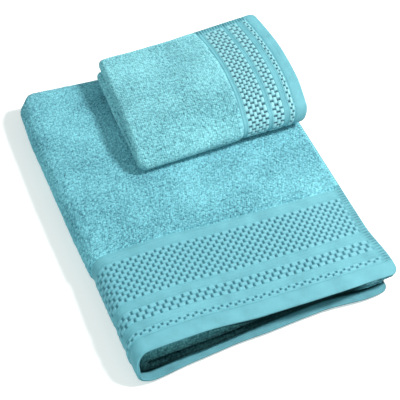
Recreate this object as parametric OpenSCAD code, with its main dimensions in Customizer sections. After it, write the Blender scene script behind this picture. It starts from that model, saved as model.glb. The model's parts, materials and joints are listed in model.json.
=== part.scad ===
// Bath towel and hand towel, folded and stacked.
// Each towel is folded crosswise in thirds, one end tucked inside, and then lengthwise in half:
// six layers of terry, the hemmed border of the outer layer at the front, the long fold at its left.
// The origin is the centre of the bath towel's underside, +Y runs from the hem to the back, +Z up.

/* [Cloth] */
// Thickness of one layer of terry as it lies in the stack
layer_t = 6.2; // [4.5:0.1:7]
// Thickness of the flat woven ground of the border
ground_t = 3.6; // [2.5:0.1:4.4]
// Thickness of the turned hem
hem_t = 3.2; // [2.5:0.1:4]
// Height of the raised pads above the border's ground
pad_rise = 1.6; // [0.8:0.1:1.8]
// Pitch of the beads and pads along the hem
pad_pitch = 11; // [9:0.5:14]

/* [Bath towel] */
// Folded width, half of the towel's own width
bath_w = 350; // [320:5:380]
// Folded depth, a third of the towel's own length
bath_d = 467; // [430:1:500]
// How far the lower hem reaches out in front of the upper hem
bath_base_reach = 8.5; // [0:0.5:12]
// How far the lower half falls short of the upper half at the open selvedges
bath_base_short = 10; // [2:1:14]
// How far the inner rolls sit behind the upper hem's edge
bath_roll_inset = 14; // [8:1:24]
// Depth of the turned hem
bath_hem = 21; // [16:1:26]
// Smooth strip between the bead row and the narrow band
bath_strip_1 = 11; // [6:1:16]
// Smooth strip between the narrow band and the wide band
bath_strip_2 = 14; // [6:1:18]
// Depth of the wide basket band
bath_wide = 60; // [40:1:70]
// Smooth strip between the wide band and the terry
bath_strip_3 = 15; // [6:1:18]

/* [Hand towel] */
// Folded width, half of the towel's own width
hand_w = 203; // [180:1:220]
// Folded depth, a third of the towel's own length
hand_d = 254; // [230:1:270]
// How far the lower hem falls short of the upper hem
hand_base_reach = -4; // [-8:0.5:0]
// How far the lower half falls short of the upper half at the open selvedges
hand_base_short = 5; // [2:1:10]
// How far the inner rolls sit behind the upper hem's edge
hand_roll_inset = 16; // [8:1:24]
// Depth of the turned hem
hand_hem = 20; // [16:1:24]
// Smooth strip between the bead row and the narrow band
hand_strip_1 = 9; // [5:1:14]
// Smooth strip between the narrow band and the wide band
hand_strip_2 = 7; // [5:1:14]
// Depth of the wide basket band
hand_wide = 32; // [26:1:40]
// Smooth strip between the wide band and the terry
hand_strip_3 = 7; // [5:1:14]
// Overhang of the hand towel's hem past the bath towel's selvedges
hand_overhang = 15; // [0:1:25]
// Distance from the bath towel's upper hem back to the hand towel's fold, at its hem
hand_setback = 256; // [245:1:265]
// Turn of the hand towel on the bath towel, clockwise from square
hand_turn = 1; // [0:0.5:4]

/* [Both borders] */
// Depth of the bead row
bead_row = 8; // [6:0.5:10]
// Depth of the narrow basket band
narrow = 17; // [14:1:20]
// Width of the woven selvedge at the open side
selvedge_w = 5; // [3:0.5:8]
// Length of one lockstitch on the hem
stitch_len = 3.2; // [2.4:0.1:4]

/* [Hidden] */
$fn = 48;
// Gap between pieces that move apart
gap = 0.3;
// Height of one folded half of a towel, three layers
half_h = 3 * layer_t;
// Height of a folded towel
towel_h = 2 * half_h + gap;
// Height of the hinge line in the long fold, and the long fold's outer radius
fold_r = towel_h / 2;
// Radius of the rolls that the tucked layers make at the front
roll_r = layer_t;
// Radius of the crosswise fold at the back
back_r = half_h / 2;
// Gap between the tucked end and the inside of the crosswise fold
tuck_gap = 6;
// Diameter of a bead, and how much of the bead row's yarn stands above the ground
bead_d = 0.62 * pad_pitch;
yarn_rise = 0.6 * pad_rise;
// Lockstitch thread
thread_d = 0.8;
stitch_step = 1.5 * stitch_len;
stitch_inset = 3;

// A towel's sizes: width, depth, lower hem's reach, lower half's shortfall, rolls' inset,
// and the places where the bands of the border end, counted from the hem's edge
function sum_to(sizes, i) = i < 0 ? 0 : sizes[i] + sum_to(sizes, i - 1);
function band_ends(sizes) = [for (i = [0:len(sizes) - 1]) sum_to(sizes, i)];
BATH = [bath_w, bath_d, bath_base_reach, bath_base_short, bath_roll_inset,
        band_ends([bath_hem, bead_row, bath_strip_1, narrow, bath_strip_2, bath_wide, bath_strip_3])];
HAND = [hand_w, hand_d, hand_base_reach, hand_base_short, hand_roll_inset,
        band_ends([hand_hem, bead_row, hand_strip_1, narrow, hand_strip_2, hand_wide, hand_strip_3])];
function t_w(t) = t[0];
function t_d(t) = t[1];
function t_reach(t) = t[2];
function t_short(t) = t[3];
function t_inset(t) = t[4];
function t_end(t, band) = t[5][band];
HEM = 0;
BEADS = 1;
STRIP_1 = 2;
NARROW = 3;
STRIP_2 = 4;
WIDE = 5;
STRIP_3 = 6;

TERRY = "#74C3D4";
SMOOTH = "#86D0DD";
PADS = "#7CC8D6";
INNER = "#5FB0C0";
THREAD = "#93D9E4";

TOP = 0;
BASE = 1;

// One half of a towel is drawn with its inner face at z = 0 and its outer face at z = half_h.
// The top half lies as drawn; the base half is turned over, so that its outer face is underneath.
function left(side) = fold_r + (side == TOP ? gap : 0);
function right(t, side) = t_w(t) - (side == TOP ? 0 : t_short(t));
function front(t, side) = side == TOP ? 0 : -t_reach(t);
// Inner face of the border's ground: it sags onto the tucked layer on top, and lies on the floor below
function ground_z(side) = side == TOP ? 2 * layer_t : half_h - pad_rise - ground_t;
function hem_z(side) = side == TOP ? 2 * layer_t : half_h - hem_t;

module slab(x, y, z) {
    translate([x[0], y[0], z[0]]) cube([x[1] - x[0], y[1] - y[0], z[1] - z[0]]);
}

// Draws its child profile, given in y and z, along x
module along_x(x) {
    translate([x[0], 0, 0]) rotate([90, 0, 90]) linear_extrude(x[1] - x[0]) children();
}

// Draws its child profile, given in x and z, along y
module along_y(y) {
    translate([0, y[1], 0]) rotate([90, 0, 0]) linear_extrude(y[1] - y[0]) children();
}

// Outer terry layer, from the border to the crosswise fold
module terry(t, side) {
    color(TERRY)
        slab([left(side), right(t, side) - selvedge_w],
             [front(t, side) + t_end(t, STRIP_3), t_d(t) - back_r],
             [2 * layer_t, half_h]);
}

// Flat woven ground of the border, under the bands
module border(t, side) {
    color(SMOOTH)
        slab([left(side), right(t, side) - selvedge_w],
             [front(t, side) + t_end(t, HEM), front(t, side) + t_end(t, STRIP_3)],
             [ground_z(side), ground_z(side) + ground_t]);
}

// A basket band: rows of pads standing on a thin web
module basket_band(t, side, from, to) {
    x = [left(side), right(t, side) - selvedge_w];
    y0 = front(t, side) + t_end(t, from);
    depth = t_end(t, to) - t_end(t, from);
    rows = round(2 * depth / pad_pitch);
    step = depth / rows;
    z = ground_z(side) + ground_t;
    color(PADS) {
        slab(x, [y0, y0 + depth], [z, z + 0.4 * pad_rise]);
        for (row = [0:rows - 1])
            slab(x, [y0 + (row + 0.1) * step, y0 + (row + 0.9) * step], [z + 0.3 * pad_rise, z + pad_rise]);
    }
}

module wide_band(t, side) { basket_band(t, side, STRIP_2, WIDE); }
module narrow_band(t, side) { basket_band(t, side, STRIP_1, NARROW); }

// Single row of beads on its yarn, next to the hem
module bead_row_of(t, side) {
    x = [left(side), right(t, side) - selvedge_w];
    y0 = front(t, side) + t_end(t, HEM);
    beads = floor((x[1] - x[0]) / pad_pitch);
    z = ground_z(side) + ground_t;
    color(PADS) {
        slab(x, [y0 + 0.3 * bead_row, y0 + 0.7 * bead_row], [z, z + yarn_rise]);
        for (bead = [0:beads - 1])
            translate([x[0] + (bead + 0.5) * pad_pitch, y0 + bead_row / 2, z])
                cylinder(d = bead_d, h = 0.95 * pad_rise);
    }
}

// Turned hem with a rounded front edge
module hem_of(t, side) {
    y0 = front(t, side);
    color(SMOOTH)
        along_x([left(side), right(t, side)])
            translate([y0, hem_z(side)]) {
                translate([hem_t / 2, hem_t / 2]) circle(d = hem_t);
                translate([hem_t / 2, 0]) square([t_end(t, HEM) - hem_t / 2, hem_t]);
            }
}

// Lockstitches that hold the turned hem
module hem_stitches(t, side) {
    x = [left(side), right(t, side)];
    count = floor((x[1] - x[0] - stitch_step) / stitch_step);
    y0 = front(t, side) + t_end(t, HEM) - stitch_inset;
    z = side == TOP ? hem_z(side) + hem_t : hem_z(side) - thread_d;
    color(THREAD)
        for (stitch = [0:count - 1])
            translate([x[0] + (stitch + 0.75) * stitch_step, y0, z]) cube([stitch_len, thread_d, thread_d]);
}

// The end of the towel that is tucked in under the outer layer
module tucked_third(t, side) {
    color(INNER)
        slab([left(side), right(t, side) - selvedge_w],
             [t_inset(t) + roll_r, t_d(t) - back_r - tuck_gap],
             [layer_t, 2 * layer_t]);
}

// The towel's middle third, innermost once the towel is folded
module middle_third(t, side) {
    color(INNER)
        slab([left(side), right(t, side) - selvedge_w],
             [t_inset(t) + roll_r, t_d(t) - back_r],
             [0, layer_t]);
}

// Rounded roll at the front, where the tucked third turns into the middle third
module front_roll(t, side) {
    color(INNER)
        along_x([left(side), right(t, side) - selvedge_w])
            translate([t_inset(t) + roll_r, roll_r]) intersection() {
                circle(r = roll_r);
                translate([-roll_r, -roll_r]) square([roll_r, 2 * roll_r]);
            }
}

// Crosswise fold at the back, from the outer layer round to the middle third
module back_fold(t, side) {
    color(TERRY)
        along_x([left(side), right(t, side) - selvedge_w])
            translate([t_d(t) - back_r, back_r]) intersection() {
                circle(r = back_r);
                translate([0, -back_r]) square([back_r, 2 * back_r]);
            }
}

// Woven edge of the outer layer at the open side
module selvedge(t, side) {
    r = ground_t / 2;
    color(SMOOTH)
        along_y([front(t, side) + t_end(t, HEM), t_d(t) - back_r])
            translate([right(t, side) - selvedge_w, ground_z(side)]) {
                square([selvedge_w - r, ground_t]);
                translate([selvedge_w - r, r]) circle(r = r);
            }
}

// Half of a ring about the long fold's axis, on the fold's side
module fold_shell(y, inner, outer) {
    along_y(y)
        translate([fold_r, fold_r]) intersection() {
            difference() {
                circle(r = outer);
                if (inner > 0) circle(r = inner);
            }
            translate([-outer, -outer]) square([outer, 2 * outer]);
        }
}

// Rounded back end of the long fold
module fold_end(t, inner, outer) {
    translate([fold_r, t_d(t) - fold_r, fold_r]) intersection() {
        difference() {
            sphere(r = outer);
            if (inner > 0) sphere(r = inner);
        }
        translate([-outer, 0, -outer]) cube([outer, outer, 2 * outer]);
    }
}

// Outer terry layer where it wraps round the long fold
module fold_terry(t) {
    color(TERRY) {
        fold_shell([t_end(t, STRIP_3), t_d(t) - fold_r], fold_r - layer_t, fold_r);
        fold_end(t, fold_r - layer_t, fold_r);
    }
}

// Border where it wraps round the long fold: ground, hem and the ends of the bands
module fold_border(t) {
    ground_r = fold_r - pad_rise;
    color(SMOOTH) {
        fold_shell([0, t_end(t, HEM)], fold_r - hem_t, fold_r);
        fold_shell([t_end(t, HEM), t_end(t, STRIP_3)], ground_r - ground_t, ground_r);
    }
    color(PADS)
        for (band = [BEADS, NARROW, WIDE])
            fold_shell([t_end(t, band - 1), t_end(t, band)], ground_r, fold_r);
}

// Inner layers where they turn inside the long fold
module fold_core(t) {
    core_r = fold_r - layer_t - gap;
    color(INNER) {
        fold_shell([t_inset(t), t_d(t) - fold_r], 0, core_r);
        fold_end(t, 0, core_r);
    }
}

module top() { translate([0, 0, half_h + gap]) children(); }
module base() { translate([0, 0, half_h]) mirror([0, 0, 1]) children(); }

// The bath towel lies square on the floor, its centre over the origin
module bath() { translate([-bath_w / 2, -bath_d / 2, 0]) children(); }

// The hand towel lies on the bath towel with its hem at the right and its long fold at the front
module hand() {
    translate([bath_w / 2 + hand_overhang, hand_setback - bath_d / 2, towel_h + gap])
        rotate([0, 0, 90 - hand_turn]) children();
}

bath() top() terry(BATH, TOP);  // bath_top_terry
bath() top() border(BATH, TOP);  // bath_top_border
bath() top() wide_band(BATH, TOP);  // bath_top_wide_band
bath() top() narrow_band(BATH, TOP);  // bath_top_narrow_band
bath() top() bead_row_of(BATH, TOP);  // bath_top_bead_row
bath() top() hem_of(BATH, TOP);  // bath_top_hem
bath() top() hem_stitches(BATH, TOP);  // bath_top_hem_stitches
bath() top() tucked_third(BATH, TOP);  // bath_top_tucked_third
bath() top() middle_third(BATH, TOP);  // bath_top_middle_third
bath() top() front_roll(BATH, TOP);  // bath_top_front_roll
bath() top() back_fold(BATH, TOP);  // bath_top_back_fold
bath() top() selvedge(BATH, TOP);  // bath_top_selvedge
bath() base() terry(BATH, BASE);  // bath_base_terry
bath() base() border(BATH, BASE);  // bath_base_border
bath() base() wide_band(BATH, BASE);  // bath_base_wide_band
bath() base() narrow_band(BATH, BASE);  // bath_base_narrow_band
bath() base() bead_row_of(BATH, BASE);  // bath_base_bead_row
bath() base() hem_of(BATH, BASE);  // bath_base_hem
bath() base() hem_stitches(BATH, BASE);  // bath_base_hem_stitches
bath() base() tucked_third(BATH, BASE);  // bath_base_tucked_third
bath() base() middle_third(BATH, BASE);  // bath_base_middle_third
bath() base() front_roll(BATH, BASE);  // bath_base_front_roll
bath() base() back_fold(BATH, BASE);  // bath_base_back_fold
bath() base() selvedge(BATH, BASE);  // bath_base_selvedge
bath() fold_terry(BATH);  // bath_fold_terry
bath() fold_border(BATH);  // bath_fold_border
bath() fold_core(BATH);  // bath_fold_core
hand() top() terry(HAND, TOP);  // hand_top_terry
hand() top() border(HAND, TOP);  // hand_top_border
hand() top() wide_band(HAND, TOP);  // hand_top_wide_band
hand() top() narrow_band(HAND, TOP);  // hand_top_narrow_band
hand() top() bead_row_of(HAND, TOP);  // hand_top_bead_row
hand() top() hem_of(HAND, TOP);  // hand_top_hem
hand() top() hem_stitches(HAND, TOP);  // hand_top_hem_stitches
hand() top() tucked_third(HAND, TOP);  // hand_top_tucked_third
hand() top() middle_third(HAND, TOP);  // hand_top_middle_third
hand() top() front_roll(HAND, TOP);  // hand_top_front_roll
hand() top() back_fold(HAND, TOP);  // hand_top_back_fold
hand() top() selvedge(HAND, TOP);  // hand_top_selvedge
hand() base() terry(HAND, BASE);  // hand_base_terry
hand() base() border(HAND, BASE);  // hand_base_border
hand() base() wide_band(HAND, BASE);  // hand_base_wide_band
hand() base() narrow_band(HAND, BASE);  // hand_base_narrow_band
hand() base() bead_row_of(HAND, BASE);  // hand_base_bead_row
hand() base() hem_of(HAND, BASE);  // hand_base_hem
hand() base() hem_stitches(HAND, BASE);  // hand_base_hem_stitches
hand() base() tucked_third(HAND, BASE);  // hand_base_tucked_third
hand() base() middle_third(HAND, BASE);  // hand_base_middle_third
hand() base() front_roll(HAND, BASE);  // hand_base_front_roll
hand() base() back_fold(HAND, BASE);  // hand_base_back_fold
hand() base() selvedge(HAND, BASE);  // hand_base_selvedge
hand() fold_terry(HAND);  // hand_fold_terry
hand() fold_border(HAND);  // hand_fold_border
hand() fold_core(HAND);  // hand_fold_core
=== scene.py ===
"""A folded bath towel with a folded hand towel on top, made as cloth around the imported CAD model."""

import json
import math

import bpy
import numpy as np
from mathutils import Matrix, Vector


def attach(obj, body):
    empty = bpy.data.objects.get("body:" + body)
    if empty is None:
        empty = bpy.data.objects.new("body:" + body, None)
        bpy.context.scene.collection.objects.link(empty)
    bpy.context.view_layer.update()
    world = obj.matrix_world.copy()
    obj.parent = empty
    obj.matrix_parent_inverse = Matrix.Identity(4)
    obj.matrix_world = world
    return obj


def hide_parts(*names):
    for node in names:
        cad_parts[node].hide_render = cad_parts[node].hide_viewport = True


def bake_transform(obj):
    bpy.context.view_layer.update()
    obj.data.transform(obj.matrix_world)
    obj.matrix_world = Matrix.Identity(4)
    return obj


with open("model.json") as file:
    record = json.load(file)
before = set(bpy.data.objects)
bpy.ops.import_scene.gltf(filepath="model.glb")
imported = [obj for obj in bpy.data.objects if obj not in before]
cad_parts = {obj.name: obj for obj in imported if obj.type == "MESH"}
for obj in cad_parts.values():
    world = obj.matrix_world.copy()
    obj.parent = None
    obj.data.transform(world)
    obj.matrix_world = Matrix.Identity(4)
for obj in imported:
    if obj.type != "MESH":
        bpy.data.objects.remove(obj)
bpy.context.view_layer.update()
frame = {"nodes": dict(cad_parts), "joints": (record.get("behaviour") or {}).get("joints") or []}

MM = 0.001
UP = Vector((0, 0, 1))


# ---------------------------------------------------------------- noise


def smooth(t):
    """Eased step from 0 to 1 as t goes from 0 to 1."""
    t = np.clip(t, 0.0, 1.0)
    return t * t * (3 - 2 * t)


def noise(x, y, cell, seed):
    """Smooth noise from -1 to 1 over the plane, with features about one cell across."""
    table = np.random.default_rng(seed).uniform(-1, 1, (64, 64))
    gx, gy = np.asarray(x) / cell, np.asarray(y) / cell
    ix, iy = np.floor(gx).astype(int), np.floor(gy).astype(int)
    fx, fy = smooth(gx - ix), smooth(gy - iy)
    ix0, iy0, ix1, iy1 = ix % 64, iy % 64, (ix + 1) % 64, (iy + 1) % 64
    low = table[ix0, iy0] * (1 - fx) + table[ix1, iy0] * fx
    high = table[ix0, iy1] * (1 - fx) + table[ix1, iy1] * fx
    return low * (1 - fy) + high * fy


def loops(x, y, size, seed):
    """Heights from 0 to 1 of a terry pile: staggered rows of loop tips, each a little out of place."""
    table = np.random.default_rng(seed).uniform(0, 1, (3, 128, 128))
    gx, gy = x / size, y / size
    iy = np.floor(gy).astype(int)
    best = np.zeros_like(gx)
    for dj in (-1, 0, 1):
        b = iy + dj
        ix = np.floor(gx - 0.5 * (b % 2)).astype(int)
        for di in (-1, 0, 1):
            a = ix + di
            jx, jy, tall = table[:, a % 128, b % 128]
            away = (gx - a - 0.5 * (b % 2) - 0.3 - 0.4 * jx) ** 2 + (gy - b - 0.3 - 0.4 * jy) ** 2
            best = np.maximum(best, (0.6 + 0.4 * tall) * (1 - 1.7 * away))
    return best


# ---------------------------------------------------------------- towels


def round_corner(from_side, from_end, radius):
    """How far points near a square corner move in from its side and its end to round it."""
    a = np.clip(1 - from_side / radius, 0, 1)
    b = np.clip(1 - from_end / radius, 0, 1)
    return radius * a * (1 - np.sqrt(1 - b * b / 2)), radius * b * (1 - np.sqrt(1 - a * a / 2))


class Towel:
    """A folded towel in its own frame, read from the CAD: x from the long fold to the open selvedges,
    y from the upper hem's edge to the crosswise fold, z up from its underside. A point on the cloth
    has s, crosswise, above 0 on the upper half, below -round on the lower half and round the long
    fold between them; v, along the whole length from the hem; and n, outwards through the cloth.
    The shape, described at PLAIN, says how the cloth departs from the CAD's flat slabs."""

    def __init__(self, name, joint, rows, shape, lies_on=None):
        self.name, self.rows, self.shape, self.lies_on = name, rows, shape, lies_on
        hinge = next(j for j in frame["joints"] if j["name"] == joint)
        back = -Vector(hinge["axis"]).normalized()
        self.axes = np.array([back.cross(UP), back, UP]).T
        self.origin = np.zeros(3)
        self.origin = self.axes @ np.array(
            [self.box("fold_terry")[0][0], self.box("top_hem")[0][1], self.box("base_terry")[0][2]]
        )
        self.radius = (np.array(hinge["pos_m"]) - self.origin) @ self.axes[:, 0]
        self.round = math.pi * self.radius
        self.layer = self.size("top_tucked_third")[2]
        self.half_gap = self.radius - 3 * self.layer
        self.ground = self.size("top_border")[2]
        self.hem_t = self.size("top_hem")[2]
        self.hem = self.box("top_hem")[1][1]
        self.depth = self.box("top_back_fold")[1][1]
        self.inset = self.box("top_front_roll")[0][1]
        self.tuck_end = self.box("top_tucked_third")[1][1]
        self.selvedge = self.size("top_selvedge")[0]
        self.base_reach = -self.box("base_hem")[0][1]
        self.width = {
            "top": self.box("top_hem")[1][0] - self.radius,
            "base": self.box("base_hem")[1][0] - self.radius,
        }
        self.bands = {
            k: (self.box(f"top_{k}")[0][1], self.box(f"top_{k}")[1][1])
            for k in ("bead_row", "narrow_band", "wide_band")
        }
        self.border_end = self.box("top_border")[1][1]
        # where each stretch of the path through the thirds starts, measured along the outer face
        self.back_r = 1.5 * self.layer
        self.to_back = self.depth - self.back_r
        self.to_middle = self.to_back + math.pi * self.back_r
        self.to_roll = self.to_middle + self.to_back - self.inset - self.layer
        self.to_tuck = self.to_roll + math.pi * self.layer
        self.end = self.to_tuck + self.tuck_end - self.inset - self.layer

    def box(self, node):
        """Lowest and highest corner of a CAD node in the towel's own frame."""
        points = np.array([v.co for v in frame["nodes"][f"{self.name}_{node}"].data.vertices])
        points = (points - self.origin) @ self.axes
        return points.min(0), points.max(0)

    def size(self, node):
        """A CAD node's extent along the towel's own axes."""
        low, high = self.box(node)
        return high - low

    def sag(self, x, y):
        """How far the top stands above the CAD's flat top, below 0 where the towel is pressed flatter."""
        g = self.shape
        width = self.width["top"] + self.radius
        out = -g["side"] * smooth(1 - (width - x) / g["side_w"]) * smooth(1.4 - y / (0.6 * self.depth))
        out = out - g["fold"] * smooth(1 - x / g["fold_w"]) ** 1.5
        out = out - g["front"] * smooth(1 - y / g["front_w"])
        out = out - g["back"] * smooth(1 - (self.depth - y) / g["back_w"])
        out = out + g["loft"](x / width, y / self.depth)
        out = out + g["swell"] * noise(x + 0.31, y + 0.17, g["swell_w"], g["seed"])
        return out + 0.3 * g["swell"] * noise(x, y, 0.35 * g["swell_w"], g["seed"] + 1)

    def place(self, s, v, n):
        """World positions of points of the cloth."""
        s, v, n = (np.array(a, float) for a in np.broadcast_arrays(s, v, n))
        across, lower = self.across(s), smooth(-s / self.round)
        line = self.shape["hem_line"](across) * (1 - lower)
        line = line + (self.shape["base_line"](across) - self.base_reach) * lower
        y, z = self.thirds(v, n, line, across, lower)
        x, y, z = self.halves(s, y, z)
        x, y = self.outline(x, y, line, lower)
        z = z * (1 + self.sag(x, y) / (2 * self.radius))
        out = self.origin + np.stack([x, y, z], -1) @ self.axes.T
        if self.lies_on:
            under = (out - self.lies_on.origin) @ self.lies_on.axes
            out[..., 2] += self.lies_on.sag(under[..., 0], under[..., 1])
        return out

    def across(self, s):
        """How far across a half, from 0 at the long fold to 1 at the upper half's selvedge."""
        return np.where(s > 0, s, np.where(s < -self.round, -s - self.round, 0)) / self.width["top"]

    def thirds(self, v, n, line, across, lower):
        """The path through the thirds, as y and z: back along the outer layer, round the crosswise fold,
        forward along the middle third, round the front roll and back along the tucked third."""
        p = v + line * (1 - smooth((v - self.border_end) / (0.6 * self.depth)))
        turn = np.clip((p - self.to_back) / self.back_r, 0, math.pi)
        r = self.back_r - self.layer + n
        y = np.where(p < self.to_back, p, self.to_back + r * np.sin(turn))
        z = self.back_r + r * np.cos(turn)
        flat = np.clip(p, self.to_middle, self.to_roll) - self.to_middle
        roll = np.clip((p - self.to_roll) / self.layer, 0, math.pi)
        far = p > self.to_middle
        y = np.where(far, self.to_back - flat - n * np.sin(roll) + np.maximum(p - self.to_tuck, 0), y)
        z = np.where(far, self.layer - n * np.cos(roll), z)

        # the upper hem hangs a little over the front roll, and the rolls stand in and out along the mouth
        over = np.clip(1 - p / (self.inset + 10 * MM), 0, 1)
        z = z - np.where(far, 0, self.shape["droop"] * over**2 * (1 - lower))
        near = smooth(1 - (y - self.inset) / (70 * MM))
        shift = self.shape["roll"](across) * (1 - lower) + self.shape["base_roll"](across) * lower
        return y + np.where(far, near * shift, 0), z

    def halves(self, s, y, z):
        """Lays the half's layers flat, or wraps them round the hinge line, as x, y and z."""
        wrap = np.clip(-s / self.radius, 0, math.pi)
        turned = wrap / math.pi
        r = self.half_gap + z
        bulge = self.shape["bulge"](y / self.depth) / self.radius
        x = self.radius - r * np.sin(wrap) * (1 + bulge) + np.maximum(s, 0) + np.maximum(-s - self.round, 0)
        foot = smooth(1 - y / (60 * MM)) * smooth((turned - 0.5) / 0.3) * smooth((1 - turned) / 0.3)
        x = x - self.shape["foot"] * foot
        back = self.shape["lower_back"] * smooth(y / self.depth) * smooth((x - 20 * MM) / (100 * MM))
        return x, y + back * (1 - 2 * smooth(1 - turned)), self.radius + r * np.cos(wrap)

    def outline(self, x, y, line, lower):
        """The outline seen from above: the back edge, the rounded corners and the sides."""
        g = self.shape
        y = y + g["back_line"](x / self.width["top"]) * smooth((y / self.depth - 0.55) / 0.45)
        dx, dy = round_corner(x, self.depth - y, g["corner"])
        x, y = x + dx, y - dy
        edge = self.radius + self.width["top"] * (1 - lower) + self.width["base"] * lower
        dx, dy = round_corner(edge - x, y - g["tip_on_line"] * line, g["tip"])
        x, y = x - dx, y + dy
        splay = g["splay"] * smooth((75 * MM - y) / (60 * MM)) * smooth((x / edge - 0.8) / 0.2)
        x = x + splay * (1 - 0.7 * lower) + g["widen"](y / self.depth) * smooth((x / edge - 0.3) / 0.7)
        # the hinge line stays straight, so that an opened half doesn't run into the other
        apart = 1 - smooth(1 - np.abs(x / self.radius - 1))
        x = x - g["flare"] * (y - self.depth / 2) * apart
        return x, y - g["lean"] * (x - self.width["top"] / 2)

    def shade(self, s, v, outside):
        """Painted shade deep in the mouth between the hems: how much of the colour is kept, where 1 is all of
        it.
        The outer face is darkened at the front rolls, most on the lower one and least near the selvedges,
        and the inner face behind the hem."""
        if outside:
            across, lower = self.across(s), smooth(-s / self.round)
            roll = smooth((17 * MM - np.abs(v - (self.to_roll + self.to_tuck) / 2)) / (9 * MM))
            end = smooth((across - 0.83) / 0.07)
            middle = smooth((across - 0.22) / 0.2) * (1 - end)
            # painted shade on the front rolls: darkest on the lower roll and in the middle of the mouth,
            # lighter at its open end
            return 1 - (0.77 - 0.62 * end + 0.14 * lower * (1 - end) + (0.10 - 0.08 * lower) * middle) * roll
        # painted shade on the inner face behind the hem
        return 1 - 0.9 * smooth((v - 9 * MM) / (4 * MM)) * smooth(1 - (v - 40 * MM) / (50 * MM))

    def span(self, half, inner=0.0):
        """The range of s for a half, stopping short of its selvedge edge by inner."""
        if half == "top":
            return 0.0, self.width["top"] - inner
        if half == "base":
            return -self.round - self.width["base"] + inner, -self.round
        return -self.round, 0.0


def none(*_):
    return 0.0


# How a towel departs from the CAD's flat slabs. A function of u goes from the long fold, 0, to the selvedges,
# 1, and a function of w from the hem, 0, to the crosswise fold, 1.
PLAIN = {
    # the open side's front, the long fold, the hem and the crosswise fold are pressed down over a width
    "side": 0, "side_w": 0.10,
    "fold": 0, "fold_w": 0.05,
    "front": 0, "front_w": 0.06,
    "back": 0, "back_w": 0.05,
    # fullness of the top, and a gentle unevenness with a size and a seed of its own
    "loft": none,
    "swell": 0, "swell_w": 0.10, "seed": 0,
    # the upper hem's droop over the front roll
    "droop": 0,
    # how far behind their straight lines the hems, the crosswise fold and the front rolls lie
    "hem_line": none, "base_line": none, "back_line": none, "roll": none, "base_roll": none,
    # how far the upper half is drawn in, and the lower half out, at the back
    "lower_back": 0,
    # radii of the long fold's back corner and of the hem's open corner, which may follow the hem's line
    "corner": 12 * MM, "tip": 5 * MM, "tip_on_line": 0,
    # how far the long fold, its foot at the hem, the open side and the hem's open corner stand out
    "bulge": none, "foot": 0, "widen": none, "splay": 0,
    # the towel's sides and ends a little out of square
    "lean": 0, "flare": 0,
}


bath = Towel(
    "bath",
    "bath_unfold",
    {"bead_row": 2, "narrow_band": 3, "wide_band": 12},
    {
        **PLAIN,
        "side": 6 * MM, "fold": 1.5 * MM, "front": 1.5 * MM, "back": 1 * MM,
        "loft": lambda u, w: 3 * MM * smooth(1 - u / 0.4) * smooth(1 - w / 0.5),
        "swell": 1.2 * MM, "swell_w": 0.11, "seed": 5,
        "droop": 3 * MM,
        "hem_line": lambda u: (
            10.5 - 14.5 * np.clip((u - 0.22) / 0.78, 0, 1)
            - 3 * smooth((u - 0.25) / 0.2) * smooth((0.94 - u) / 0.2)
        ) * MM,
        "base_line": lambda u: (
            6.7 * smooth(u / 0.62) - 7.1 * smooth((u - 0.68) / 0.24) - 1 - 2.5 * smooth(1 - u / 0.15)
            - 3.2 * smooth((u - 0.3) / 0.2) * (1 - 0.5 * smooth((u - 0.85) / 0.1))
        ) * MM,
        "back_line": lambda u: (5 - 30 * np.clip(u, 0, 0.36)) * MM,
        "roll": lambda u: (-11 + 4 * smooth((u - 0.25) / 0.4) - 10.5 * smooth((u - 0.76) / 0.12)) * MM,
        "base_roll": lambda u: (-15 + 5 * smooth((u - 0.2) / 0.4) - 5 * smooth((u - 0.76) / 0.14)) * MM,
        "corner": 25 * MM, "tip": 11 * MM, "tip_on_line": 1,
        "bulge": lambda w: (6 + 2 * smooth((w - 0.28) / 0.2) - 4 * smooth((w - 0.8) / 0.18)) * MM,
        "foot": 4 * MM,
        "widen": lambda w: (10.5 * np.clip((w - 0.02) / 0.58, 0, 1) - 5 * smooth((w - 0.7) / 0.3)) * MM,
        "splay": 7 * MM,
    },
)


def hand_loft(u, w):
    """The hand towel is fullest at its hem, and its open edge dips in the middle and rises at the back."""
    edge = 4 * smooth((w - 0.7) / 0.3) - 3 * np.sin(math.pi * np.clip(w / 0.75, 0, 1))
    return (11 - 16 * smooth(w) + edge * smooth((u - 0.5) / 0.5)) * MM


hand = Towel(
    "hand",
    "hand_unfold",
    {"bead_row": 2, "narrow_band": 3, "wide_band": 6},
    {
        **PLAIN,
        "side": 1 * MM, "side_w": 0.11, "fold": 12 * MM, "fold_w": 0.065, "back": 2 * MM, "back_w": 0.04,
        "loft": hand_loft,
        "swell": 0.8 * MM, "swell_w": 0.08, "seed": 9,
        "droop": 1 * MM,
        "hem_line": lambda u: (-3.5 - 7.5 * np.sin(math.pi * np.clip(u, 0, 1))) * MM,
        "lower_back": 2.5 * MM,
        "bulge": lambda w: 1.5 * MM * smooth((0.85 - w) / 0.55),
        "lean": 0.038, "flare": 0.026,
    },
    bath,
)


# ---------------------------------------------------------------- cloth pieces


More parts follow.
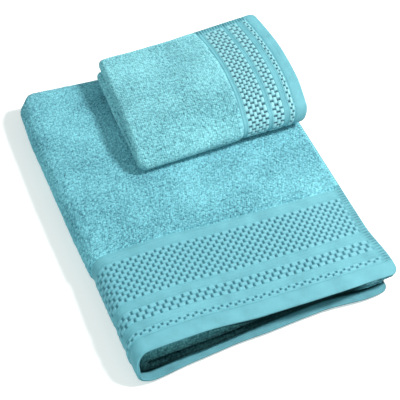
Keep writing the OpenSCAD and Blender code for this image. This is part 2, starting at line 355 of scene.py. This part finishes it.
def make_mesh(name, points, loop_lists, sv, depth, shade=None, rim=None):
    """A mesh object from faces of mixed sizes, with the cloth's own coordinates, a depth value that is 0
    in the gaps of the weave and 1 on its tips, and a painted-shade value that is below 1 deep between
    layers, where it darkens the colour. Edges between two points of the rim are creased."""
    mesh = bpy.data.meshes.new(name)
    flat = np.concatenate([a.ravel() for a in loop_lists])
    totals = np.concatenate([np.full(len(a), a.shape[1]) for a in loop_lists])
    mesh.vertices.add(len(points))
    mesh.vertices.foreach_set("co", points.astype(np.float32).ravel())
    mesh.loops.add(len(flat))
    mesh.loops.foreach_set("vertex_index", flat.astype(np.int32))
    mesh.polygons.add(len(totals))
    mesh.polygons.foreach_set("loop_start", (np.cumsum(totals) - totals).astype(np.int32))
    mesh.update(calc_edges=True)
    mesh.polygons.foreach_set("use_smooth", np.ones(len(totals), bool))
    if rim is not None:
        ends = np.empty(2 * len(mesh.edges), np.int32)
        mesh.edges.foreach_get("vertices", ends)
        creased = rim[ends.reshape(-1, 2)].all(1)
        mesh.attributes.new("sharp_edge", "BOOLEAN", "EDGE").data.foreach_set("value", creased)
    mesh.uv_layers.new(name="cloth").data.foreach_set("uv", sv[flat].astype(np.float32).ravel())
    shade = np.ones(len(points)) if shade is None else shade
    for key, value in (("depth", depth), ("shade", shade)):
        mesh.attributes.new(key, "FLOAT", "POINT").data.foreach_set("value", value.astype(np.float32))
    mesh.validate()
    obj = bpy.data.objects.new(name, mesh)
    bpy.context.scene.collection.objects.link(obj)
    return obj


def coarse(count, step):
    """Every step-th index of a row of points, with the last one."""
    return np.unique(np.append(np.arange(0, count, step), count - 1))


def patch(name, towel, s, v, top, bottom, depth=None, step=8):
    """A closed piece of cloth over the grid s by v: a fine outer face at n = top, and an inner face
    at n = bottom on every step-th line, joined by walls."""
    grid_s, grid_v = np.meshgrid(s, v, indexing="ij")
    high = np.broadcast_to(top(grid_s, grid_v) if callable(top) else top, grid_s.shape)
    low = np.broadcast_to(bottom(grid_s, grid_v) if callable(bottom) else bottom, grid_s.shape)
    rows, cols = grid_s.shape
    ci, cj = coarse(rows, step), coarse(cols, step)
    pick = np.ix_(ci, cj)
    outer = towel.place(grid_s, grid_v, high).reshape(-1, 3)
    inner = towel.place(grid_s[pick], grid_v[pick], low[pick]).reshape(-1, 3)
    points = np.concatenate([outer, inner])
    sv = np.concatenate([np.stack([grid_s.ravel(), grid_v.ravel()], 1),
                         np.stack([grid_s[pick].ravel(), grid_v[pick].ravel()], 1)])
    tips = np.ones(grid_s.shape) if depth is None else depth(grid_s, grid_v)
    tips = np.concatenate([tips.ravel(), np.full(len(inner), 0.5)])
    shade = np.concatenate([towel.shade(grid_s, grid_v, True).ravel(),
                            towel.shade(grid_s[pick], grid_v[pick], False).ravel()])

    index = np.arange(rows * cols).reshape(rows, cols)
    inner_index = rows * cols + np.arange(len(inner)).reshape(len(ci), len(cj))
    quads = np.stack([index[:-1, :-1], index[1:, :-1], index[1:, 1:], index[:-1, 1:]], -1).reshape(-1, 4)
    k = inner_index
    under = np.stack([k[:-1, :-1], k[:-1, 1:], k[1:, 1:], k[1:, :-1]], -1).reshape(-1, 4)
    walls = []
    for edge, fine, rough in (
        (index[:, 0], ci, k[:, 0]),
        (index[-1], cj, k[-1]),
        (index[::-1, -1], (rows - 1 - ci)[::-1], k[::-1, -1]),
        (index[0, ::-1], (cols - 1 - cj)[::-1], k[0, ::-1]),
    ):
        for a in range(len(rough) - 1):
            run = edge[fine[a]:fine[a + 1] + 1]
            walls.append(np.array([[rough[a], rough[a + 1], *run[::-1]]]))
    rim = np.zeros(len(points), bool)
    for side in (index[0], index[-1], index[:, 0], index[:, -1], k[0], k[-1], k[:, 0], k[:, -1]):
        rim[side] = True
    return make_mesh(name, points, [quads, under, *walls], sv, tips, shade, rim)


def steps(a, b, size):
    """Even steps of about a size from a to b."""
    return np.linspace(a, b, max(2, int(round((b - a) / size)) + 1))


PAD_PITCH = 11 * MM


def pad_rows(towel, band):
    """Height of a basket-weave band: rows of pads with a deep gap between pads, each row shifted half a
    pitch from the last, from 0 in the gaps to 1 on the pads."""
    low, high = towel.bands[band]
    count = towel.rows[band]
    tall = (high - low) / count

    def height(s, v):
        r = np.clip((v - low) / tall, 0, count - 1e-6)
        row = np.floor(r)
        w = np.abs(2 * (r - row) - 1)
        column = s / PAD_PITCH + 0.5 * (row % 2) + 0.05 * noise(s, row * 0.02, 0.05, 41)
        cell = np.floor(column)
        u = np.abs(2 * (column - cell) - 1)
        width = 0.84 + 0.05 * noise(cell * 0.037, row * 0.041, 0.03, 43) - 0.06 * w
        pad = 1 - smooth((u - width + 0.24) / 0.38)
        return pad * np.where((r > 0.5) & (r < count - 0.5), 1 - 0.40 * w**3, 1)

    return height


LOOP_HEIGHT = 1.7 * MM
PILE_RISE = 5 * MM  # over this length the pile comes up from the border to its full height


def terry(towel, name, span, along, grid, size, seed, step=8, base=0.35):
    """A pile surface: loop tips up to the towel's outer face."""

    def risen(v):
        return smooth((v - towel.border_end) / PILE_RISE)

    def tips(s, v):
        return loops(s + 0.4, v + 0.2, size, seed)

    def top(s, v):
        rise = risen(v)
        full = towel.ground + (towel.layer - towel.ground) * rise
        full = full - LOOP_HEIGHT * (0.25 + 0.75 * rise) * (1 - tips(s, v))
        return full + 0.25 * MM * noise(s, v, 0.012, seed + 3)

    def low(s, v):
        return towel.layer * (1 - base) - 1.5 * MM * (1 - risen(v))

    return patch(name, towel, steps(*span, grid), steps(*along, grid), top, low, tips, step)


pieces = {}


def add(towel, half, obj, material, nodes=()):
    """Gives a piece its material and its CAD body, or on the long fold bakes its place into the mesh; hides
    the CAD nodes it stands for.
    """
    obj.data.materials.append(material)
    if half in ("top", "base"):
        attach(obj, f"{towel.name}_{half}_half")
    else:
        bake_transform(obj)
    if nodes:
        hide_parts(*[f"{towel.name}_{n}" for n in nodes])
    pieces.setdefault((towel.name, "top" if half == "top" else "base"), []).append(obj)
    return obj


# ---------------------------------------------------------------- materials


def new_material(name, colour, roughness, sheen, sheen_roughness=0.5, specular=0.3):
    """A cloth material with a cyan sheen."""
    material = bpy.data.materials.new(name)
    material.use_nodes = True
    shader = material.node_tree.nodes["Principled BSDF"]
    shader.inputs["Base Color"].default_value = (*colour, 1)
    shader.inputs["Roughness"].default_value = roughness
    shader.inputs["Sheen Weight"].default_value = sheen
    shader.inputs["Sheen Roughness"].default_value = sheen_roughness
    shader.inputs["Sheen Tint"].default_value = (0.75, 0.95, 1, 1)
    shader.inputs["Specular IOR Level"].default_value = specular
    return material


DIM = (0.22, 0.29, 0.27)  # what is left of a colour at a shade of 0.3


class Nodes:
    """Short names for the nodes that the materials are made of."""

    def __init__(self, material):
        self.tree = material.node_tree
        self.shader = self.tree.nodes["Principled BSDF"]

    def node(self, kind, **values):
        made = self.tree.nodes.new(kind)
        for key, value in values.items():
            setattr(made, key, value)
        return made

    def join(self, a, b):
        self.tree.links.new(a, b)

    def cloth(self):
        """The cloth's own coordinates, s and v, in metres."""
        return self.node("ShaderNodeUVMap", uv_map="cloth").outputs["UV"]

    def noise(self, scale, detail=2.0):
        made = self.node("ShaderNodeTexNoise", noise_dimensions="2D")
        made.inputs["Scale"].default_value = scale
        made.inputs["Detail"].default_value = detail
        self.join(self.cloth(), made.inputs["Vector"])
        return made.outputs["Fac"]

    def wave(self, scale, direction, distortion=0.0):
        made = self.node("ShaderNodeTexWave", bands_direction=direction)
        made.inputs["Scale"].default_value = scale
        made.inputs["Distortion"].default_value = distortion
        made.inputs["Detail"].default_value = 1
        self.join(self.cloth(), made.inputs["Vector"])
        return made.outputs["Fac"]

    def attribute(self, name):
        """A value painted on the mesh: depth or shade, as make_mesh describes them."""
        return self.node("ShaderNodeAttribute", attribute_name=name).outputs["Fac"]

    def math(self, operation, *values):
        made = self.node("ShaderNodeMath", operation=operation)
        for socket, value in zip(made.inputs, values):
            if isinstance(value, (int, float)):
                socket.default_value = value
            else:
                self.join(value, socket)
        return made.outputs[0]

    def ramp(self, factor, *stops):
        """Colours along a factor; a third stop may lie between the first two."""
        made = self.node("ShaderNodeValToRGB")
        for k, (at, colour) in enumerate(stops):
            element = made.color_ramp.elements[k] if k < 2 else made.color_ramp.elements.new(at)
            element.position, element.color = at, (*colour, 1)
        self.join(factor, made.inputs[0])
        return made.outputs[0]

    def shades(self, factor, colour, *stops):
        """A colour scaled by each stop's amount."""
        return self.ramp(factor, *((at, scaled(colour, k)) for at, k in stops))

    def bump(self, height, distance, after=None):
        """The normal bent by a height in metres, on top of an earlier bump."""
        made = self.node("ShaderNodeBump")
        made.inputs["Distance"].default_value = distance
        self.join(height, made.inputs["Height"])
        if after is not None:
            self.join(after, made.inputs["Normal"])
        return made.outputs[0]

    def join_with_painted_shade(self, colour, normal, roughness=None):
        """Joins the colour, darkened by the painted shade deep in the mouth, and the rest to the shader;
        the painted shade also dims the sheen and the specular there.
        """
        dim = self.ramp(self.attribute("shade"), (0.0, (0, 0, 0)), (1.0, (1, 1, 1)), (0.3, DIM))
        shaded = self.node("ShaderNodeVectorMath", operation="MULTIPLY")
        self.join(colour, shaded.inputs[0])
        self.join(dim, shaded.inputs[1])
        self.join(shaded.outputs[0], self.shader.inputs["Base Color"])
        for gloss in ("Sheen Weight", "Specular IOR Level"):
            full = self.shader.inputs[gloss].default_value
            self.join(self.math("MULTIPLY", dim, full), self.shader.inputs[gloss])
        self.join(normal, self.shader.inputs["Normal"])
        if roughness is not None:
            self.join(roughness, self.shader.inputs["Roughness"])


def scaled(colour, k):
    """The colour darkened or lightened; darker is more saturated, as light bounces between the yarns."""
    power = (1.45, 1.0, 0.97) if k < 1 else (1.35, 1.0, 0.85)
    return tuple(min(1.0, c * k**p) for c, p in zip(colour, power))


AQUA = (0.123, 0.390, 0.474)


def terry_material(name, colour, dark, light):
    """Loop pile: painted shade between the loops and a painted highlight on the tips, with random grain and
    patches where the pile leans.
    """
    material = new_material(name, colour, 0.95, 0.25)
    n = Nodes(material)
    patches = n.noise(16, 1)
    grain = n.noise(760, 1)
    value = n.math("ADD", n.math("MULTIPLY", n.attribute("depth"), 0.62), n.math("MULTIPLY", grain, 0.30))
    value = n.math("ADD", value, n.math("MULTIPLY", patches, 0.24))
    # depth sets the painted shade in the gaps between the loops and the painted highlight on their tips;
    # grain and patches vary the tone at random
    colours = n.shades(value, colour, (0.30, dark), (0.82, light), (0.535, 0.93))
    yarn = n.bump(n.noise(1500, 3), 0.5 * MM)
    tufts = n.bump(n.noise(560, 2), 0.9 * MM, yarn)
    n.join_with_painted_shade(colours, tufts)
    return material


def smooth_material(name, colour):
    """Flat weave of the hem and strips: fine lines along the hem and faint crossing yarns, with painted shade
    in the grooves between the weft's turns.
    """
    material = new_material(name, colour, 0.62, 0.12, 0.4, 0.4)
    n = Nodes(material)
    lines = n.wave(250, "Y", 0.6)
    yarns = n.wave(420, "X", 0.6)
    value = n.math("ADD", n.math("MULTIPLY", lines, 0.35), n.math("MULTIPLY", yarns, 0.15))
    value = n.math("ADD", value, n.math("MULTIPLY", n.noise(45, 3), 0.5))
    # low depth in the grooves between the weft's turns gives them painted shade
    value = n.math("MULTIPLY", value, n.attribute("depth"))
    colours = n.shades(value, colour, (0.05, 0.3), (0.9, 1.30), (0.3, 0.85))
    weave = n.bump(yarns, 0.10 * MM, n.bump(lines, 0.16 * MM))
    n.join_with_painted_shade(colours, weave, n.math("MULTIPLY_ADD", n.noise(90, 2), 0.2, 0.5))
    return material


def pad_material(name, colour, dark, light):
    """Basket-weave pads: satin yarn tops with a painted highlight, and painted shade in the gaps between
    them.
    """
    material = new_material(name, colour, 0.45, 0.20, 0.4, 0.5)
    n = Nodes(material)
    yarns = n.wave(330, "Y", 1.2)
    fuzz = n.math("MULTIPLY", n.noise(380, 2), 0.2)
    value = n.math("ADD", n.math("MULTIPLY", n.attribute("depth"), 0.8), fuzz)
    # depth gives painted shade in the gaps between pads and a painted highlight on the pad tops
    colours = n.shades(value, colour, (0.10, dark), (0.92, light), (0.60, 0.95))
    weave = n.bump(n.noise(900, 2), 0.14 * MM, n.bump(yarns, 0.2 * MM))
    n.join_with_painted_shade(colours, weave, n.math("MULTIPLY_ADD", n.noise(300, 2), 0.25, 0.33))
    return material


def thread_material(name, colour):
    """Sewing thread: a fine twist."""
    material = new_material(name, colour, 0.5, 0.1)
    n = Nodes(material)
    twist = n.wave(900, "DIAGONAL", 1.0)
    n.join_with_painted_shade(n.shades(twist, colour, (0.0, 0.75), (1.0, 1.15)), n.bump(twist, 0.1 * MM))
    return material


# The small towel's terry is paler than the bath towel's though both are the same cloth: painted light for the
# brighter light on the small towel.
TERRY = {
    "bath": terry_material("terry", AQUA, 0.08, 1.9),
    "hand": terry_material("small_terry", (0.167, 0.461, 0.528), 0.12, 1.75),
}
# The inner terry is darker than the outer, though the same cloth, with deeper gaps and paler tips: painted
# shade and painted highlight for the inside of the folds and the mouth.
INNER = terry_material("inner_terry", scaled(AQUA, 0.9), 0.04, 2.1)
WEAVE = smooth_material("smooth_weave", (0.159, 0.449, 0.519))
# The small towel's pads carry a stronger painted highlight on their tops and darker painted shade in their
# gaps than the bath towel's.
PADS = {
    "bath": pad_material("basket_pads", (0.135, 0.40, 0.475), 0.68, 1.36),
    "hand": pad_material("small_basket_pads", (0.158, 0.397, 0.462), 0.15, 1.76),
}
THREAD = thread_material("thread", scaled(AQUA, 1.08))


# ---------------------------------------------------------------- both towels


def stitch_row(name, towel, span, v, n):
    """A row of short thread stitches across the cloth."""
    pitch, long, thread = 3.2 * MM, 2.2 * MM, 0.28 * MM
    centres = np.arange(span[0] + pitch, span[1] - pitch / 2, pitch)
    t = np.linspace(-1, 1, 6)
    around = np.linspace(0, 2 * math.pi, 7)[:-1]
    thick = np.sqrt(np.clip(1 - t**4, 0.02, 1)) * thread
    s = centres[:, None, None] + (t * long / 2)[None, :, None] + 0 * around
    w = v + thick[None, :, None] * np.cos(around) + 0 * s
    h = n + thick[None, :, None] * np.sin(around) + 0.2 * MM * (1 - t[None, :, None] ** 2) + 0 * s
    points = towel.place(s, w, h).reshape(-1, 3)
    index = np.arange(len(points)).reshape(s.shape)
    a, b = index[:, :-1], index[:, 1:]
    sides = np.stack([a, b, np.roll(b, -1, 2), np.roll(a, -1, 2)], -1).reshape(-1, 4)
    caps = np.concatenate([index[:, 0, :], index[:, -1, ::-1]])
    sv = np.stack([s.ravel(), w.ravel()], 1)
    return make_mesh(name, points, [sides[:, ::-1], caps[:, ::-1]], sv, np.ones(len(points)))


def cloth(name, towel, span, along):
    """The woven ground of a stretch of cloth, inside the hem and under the border and the pile."""
    marks = (0, towel.to_back, towel.to_middle, towel.to_roll, towel.to_tuck, towel.end)
    v = np.unique(np.concatenate([steps(a, b, 4 * MM) for a, b in zip(marks, marks[1:])]))
    v = np.concatenate([[along[0]], v[(v > along[0] + 1 * MM) & (v < along[1] - 1 * MM)], [along[1]]])

    def top(s, v):
        hem = 0.7 * MM * (1 - smooth((v - towel.hem) / (1 * MM)))
        return 1.6 * MM + hem + 2.7 * MM * smooth((v - towel.border_end - 1 * MM) / (3 * MM))

    def bottom(s, v):
        return 0.3 * MM + 0.6 * MM * (1 - smooth((v - towel.hem) / (1 * MM)))

    return patch(name, towel, steps(*span, 6 * MM), v, top, bottom, step=1)


BAND_END = 11 * MM  # the bands stop this far short of the selvedges
WEFT = 1.0 * MM  # height of the weft's turns at a selvedge
WEFT_PITCH = 4.2 * MM


def from_selvedge(t, half, s):
    """Distance in from a half's open selvedge."""
    return t.width[half] - (s if half == "top" else -s - t.round)


def weft_turns(t, half, s, v, side=1):
    """Ridges of the weft where it turns at a selvedge, fading inwards; with side -1, the grooves."""
    if half == "fold":
        return 0 * s
    wave = 0.5 + 0.5 * side * np.cos(2 * math.pi * (v / WEFT_PITCH + 0.15 * noise(v, v * 0, 0.011, 61)))
    return WEFT * wave * (1 - smooth((from_selvedge(t, half, s) - 6 * MM) / (8 * MM)))


def weft_depth(t, half):
    """Depth values for the materials, low in the grooves between the weft's turns, where the materials paint
    shade.
    """
    return lambda s, v: 1 - 0.7 * weft_turns(t, half, s, v, -1) / WEFT


def border(name, t, half, span, grid):
    """The flat woven border: fine ribs along the hem, a cord beside each band and hollows under them."""

    def hollow(s, v, low, high):
        inside = smooth((v - low - 0.6 * MM) / (0.5 * MM)) * smooth((high - 0.6 * MM - v) / (0.5 * MM))
        if half != "fold":
            inside = inside * smooth((from_selvedge(t, half, s) - BAND_END) / (1 * MM) - 1)
        return 1.9 * MM * inside

    def cord(v, at, wide, tall):
        return tall * np.clip(1 - ((v - at) / wide) ** 2, 0, 1)

    def top(s, v):
        ribs = 0.10 * MM * np.cos(2 * math.pi * v / (1.8 * MM))
        height = t.ground + ribs + 0.12 * MM * noise(s, v, 0.009, 3)
        height = height + weft_turns(t, half, s, v)
        for low, high in t.bands.values():
            height = height - hollow(s, v, low, high)
            for edge in (low - 0.9 * MM, high + 0.9 * MM):
                height = height + cord(v, edge, 0.9 * MM, 0.4 * MM)
        height = height - 0.9 * MM * (1 - smooth((v - t.hem + 1 * MM) / (2 * MM)))
        return height + cord(v, t.border_end - 1.6 * MM, 1.1 * MM, 0.45 * MM)

    v = steps(t.hem - 1 * MM, t.border_end + 0.5 * MM, grid)
    return patch(name, t, steps(*span, 4 * grid), v, top, 1.2 * MM, weft_depth(t, half))


def band(name, t, kind, span, grid):
    """A basket-weave band set into the border."""
    height = pad_rows(t, kind)
    low, high = t.bands[kind]

    def top(s, v):
        edge = smooth((v - low) / (1.2 * MM)) * smooth((high - v) / (1.2 * MM))
        return t.ground - 1.3 * MM + (1.3 * MM + 0.9 * MM * edge) * height(s, v)

    return patch(name, t, steps(*span, grid), steps(low, high, grid), top, 1.5 * MM, height)


def turned_hem(name, t, span):
    """The turned hem: a flat tube of smooth weave, a little full between its edge and its stitching."""
    rounding = np.array([0.02, 0.12, 0.35, 0.75, 1.2]) * MM
    v = np.concatenate([rounding, steps(1.7 * MM, t.hem, 0.7 * MM)])

    def round_off(v):
        return np.sqrt(1 - np.clip(1 - v / (1.6 * MM), 0, 1) ** 2)

    def top(s, v):
        full = 0.5 * MM * np.sin(math.pi * np.clip(v / (t.hem - 2 * MM), 0, 1)) ** 0.7
        fine = 0.06 * MM * np.cos(2 * math.pi * v / (1.9 * MM)) + 0.15 * MM * noise(s, v, 0.014, 31)
        return t.hem_t / 2 + (t.hem_t / 2 + full + fine) * round_off(v)

    return patch(name, t, steps(*span, 2 * MM), v, top, lambda s, v: t.hem_t / 2 * (1 - round_off(v)), step=1)


def selvedge(name, t, half):
    """The woven side edge along the whole cloth, rounded over, with a ridge at each weft turn."""
    out = np.array([0, 0.25, 0.5, 0.68, 0.82, 0.92, 0.98, 1.0]) * t.selvedge
    s = t.width[half] - t.selvedge + out
    s = s if half == "top" else -t.round - s[::-1]

    def round_off(s):
        away = 1 - from_selvedge(t, half, s) / t.selvedge
        return np.sqrt(np.clip(1 - np.clip((away - 0.5) / 0.5, 0, 1) ** 2, 0.0004, 1))

    def top(s, v):
        return 2.2 * MM + (1.4 * MM + weft_turns(t, half, s, v)) * round_off(s)

    def bottom(s, v):
        return 2.2 * MM - 1.4 * MM * round_off(s)

    return patch(name, t, s, steps(t.hem, t.end, 0.8 * MM), top, bottom, weft_depth(t, half), 1)


FINE, COARSE = 1.05 * MM, 2 * MM  # grids of the pile that shows and of the pile that is mostly hidden
LOOP, INNER_LOOP, ROLL_LOOP = 2.7 * MM, 3.4 * MM, 3.8 * MM  # spacing of the loops


def fold_layers(t, tag, span):
    """The woven ground and the inner layers that wrap round the long fold."""
    main = cloth(f"{tag}_cloth", t, span, (1.5 * MM, t.to_middle))
    add(t, "fold", main, TERRY[t.name])
    inner = cloth(f"{tag}_tucked_wrap", t, span, (t.to_roll + math.pi * t.layer / 2, t.end))
    add(t, "fold_tuck", inner, INNER, ["fold_core"])
    along = (t.to_middle, t.to_roll + math.pi * t.layer)
    inner = terry(t, f"{tag}_middle_wrap", span, along, COARSE, INNER_LOOP, 12, 4, 0.9)
    add(t, "fold_core", inner, INNER, [])


def half_layers(t, half, tag, span):
    """A half's woven ground, front roll, middle third and selvedge. Returns the ground."""
    main = cloth(f"{tag}_cloth", t, t.span(half, 2 * MM), (1.5 * MM, t.end))
    add(t, half, main, INNER, [f"{half}_tucked_third"])
    roll = (t.to_roll - 20 * MM, t.to_tuck + 30 * MM)
    obj = terry(t, f"{tag}_roll_pile", span, roll, 1.3 * MM, ROLL_LOOP, 21)
    add(t, half, obj, INNER, [f"{half}_front_roll"])
    obj = terry(t, f"{tag}_middle_pile", span, (t.to_middle, roll[0]), COARSE, INNER_LOOP, 22)
    add(t, half, obj, INNER, [f"{half}_middle_third"])
    add(t, half, selvedge(f"{tag}_side_edge", t, half), WEAVE, [f"{half}_selvedge"])
    return main


def outer_layer(t, half, tag, span):
    """The pile, the border with its bands, the hem and the hem's stitches."""
    fold, hidden = half == "fold", half == "base"

    def stands(*nodes):
        return [] if fold else [f"{half}_{n}" for n in nodes]

    grid, size = (COARSE, INNER_LOOP) if hidden else (FINE, LOOP)
    obj = terry(t, f"{tag}_pile", span, (t.border_end - 0.5 * MM, t.to_middle), grid, size, 7)
    add(t, half, obj, TERRY[t.name], ["fold_terry"] if fold else stands("terry", "back_fold"))
    obj = border(f"{tag}_border_weave", t, half, span, 1 * MM if hidden else 0.45 * MM)
    add(t, half, obj, WEAVE, ["fold_border"] if fold else stands("border"))
    between = t.span(half, 0 if fold else BAND_END)
    for kind in t.bands:
        obj = band(f"{tag}_{kind.split('_')[0]}_pads", t, kind, between, 1.4 * MM if hidden else 0.75 * MM)
        add(t, half, obj, PADS[t.name], stands(kind))
    obj = turned_hem(f"{tag}_turned_hem", t, t.span(half))
    add(t, half, obj, WEAVE, stands("hem"))
    obj = stitch_row(f"{tag}_stitching", t, span, t.hem - 2 * MM, t.hem_t + 0.2 * MM)
    add(t, half, obj, THREAD, stands("hem_stitches"))


def towel_half(t, half):
    """Everything on one half. Returns its woven ground."""
    tag, span = f"{t.name}_{half}", t.span(half, t.selvedge)
    main = half_layers(t, half, tag, span)
    outer_layer(t, half, tag, span)
    return main


def towel_fold(t):
    """Everything on the long fold between the halves."""
    tag, span = f"{t.name}_fold", t.span("fold")
    fold_layers(t, tag, span)
    outer_layer(t, "fold", tag, span)


for towel in (bath, hand):
    sheets = {half: towel_half(towel, half) for half in ("top", "base")}
    towel_fold(towel)


# ---------------------------------------------------------------- floor, light and camera


def floor():
    """A pale floor. Its faint warm glow lifts the shadows to the photograph's."""
    bpy.ops.mesh.primitive_plane_add(size=12, location=(0, 0, -0.0004))
    plane = bpy.context.object
    plane.name = "floor"
    material = bpy.data.materials.new("floor")
    material.use_nodes = True
    shader = material.node_tree.nodes["Principled BSDF"]
    shader.inputs["Base Color"].default_value = (0.93, 0.86, 0.85, 1)
    shader.inputs["Roughness"].default_value = 1.0
    shader.inputs["Emission Color"].default_value = (1.0, 0.92, 0.86, 1)
    shader.inputs["Emission Strength"].default_value = 0.34
    plane.data.materials.append(material)
    plane.visible_diffuse = False


def soft_light(name, direction, distance, size, power, colour):
    """A round area light, in a direction and at a distance from the middle, turned to it."""
    light = bpy.data.lights.new(name, "AREA")
    light.shape, light.size, light.energy, light.color = "DISK", size, power, colour
    obj = bpy.data.objects.new(name, light)
    bpy.context.scene.collection.objects.link(obj)
    away = Vector(direction).normalized()
    obj.location = away * distance
    obj.rotation_euler = (-away).to_track_quat("-Z", "Y").to_euler()


floor()
soft_light("key", (0.72, -0.10, 0.685), 2.2, 0.40, 57, (1, 1, 1))
soft_light("fill", (-0.75, -0.35, 0.55), 2.2, 1.6, 15, (0.72, 0.97, 1.0))


def studio(above, below):
    """An even, slightly cyan surround, with its own strength below the horizon for the floor's bounce."""
    world = bpy.data.worlds.new("studio")
    bpy.context.scene.world = world
    world.use_nodes = True
    tree = world.node_tree
    split = tree.nodes.new("ShaderNodeSeparateXYZ")
    tree.links.new(tree.nodes.new("ShaderNodeTexCoord").outputs["Generated"], split.inputs[0])
    level = tree.nodes.new("ShaderNodeMapRange")
    for socket, value in zip(list(level.inputs)[1:5], (-0.1, 0.1, below, above)):
        socket.default_value = value
    tree.links.new(split.outputs["Z"], level.inputs[0])
    background = tree.nodes["Background"]
    background.inputs["Color"].default_value = (0.76, 0.97, 1.0, 1)
    tree.links.new(level.outputs[0], background.inputs["Strength"])


studio(0.44, 0.60)

camera = bpy.data.objects.new("camera", bpy.data.cameras.new("camera"))
bpy.context.scene.collection.objects.link(camera)
camera.data.lens, camera.data.sensor_width = 77.16, 36
aim = Vector((0.2913, 0.5532, -0.7805)).to_track_quat("-Z", "Y").to_matrix()
roll = Matrix.Rotation(math.radians(4.47), 3, "Z")
camera.matrix_world = Matrix.Translation((-0.3396, -0.6694, 0.9211)) @ (aim @ roll).to_4x4()
bpy.context.scene.camera = camera
bpy.context.scene.view_settings.view_transform = "Standard"
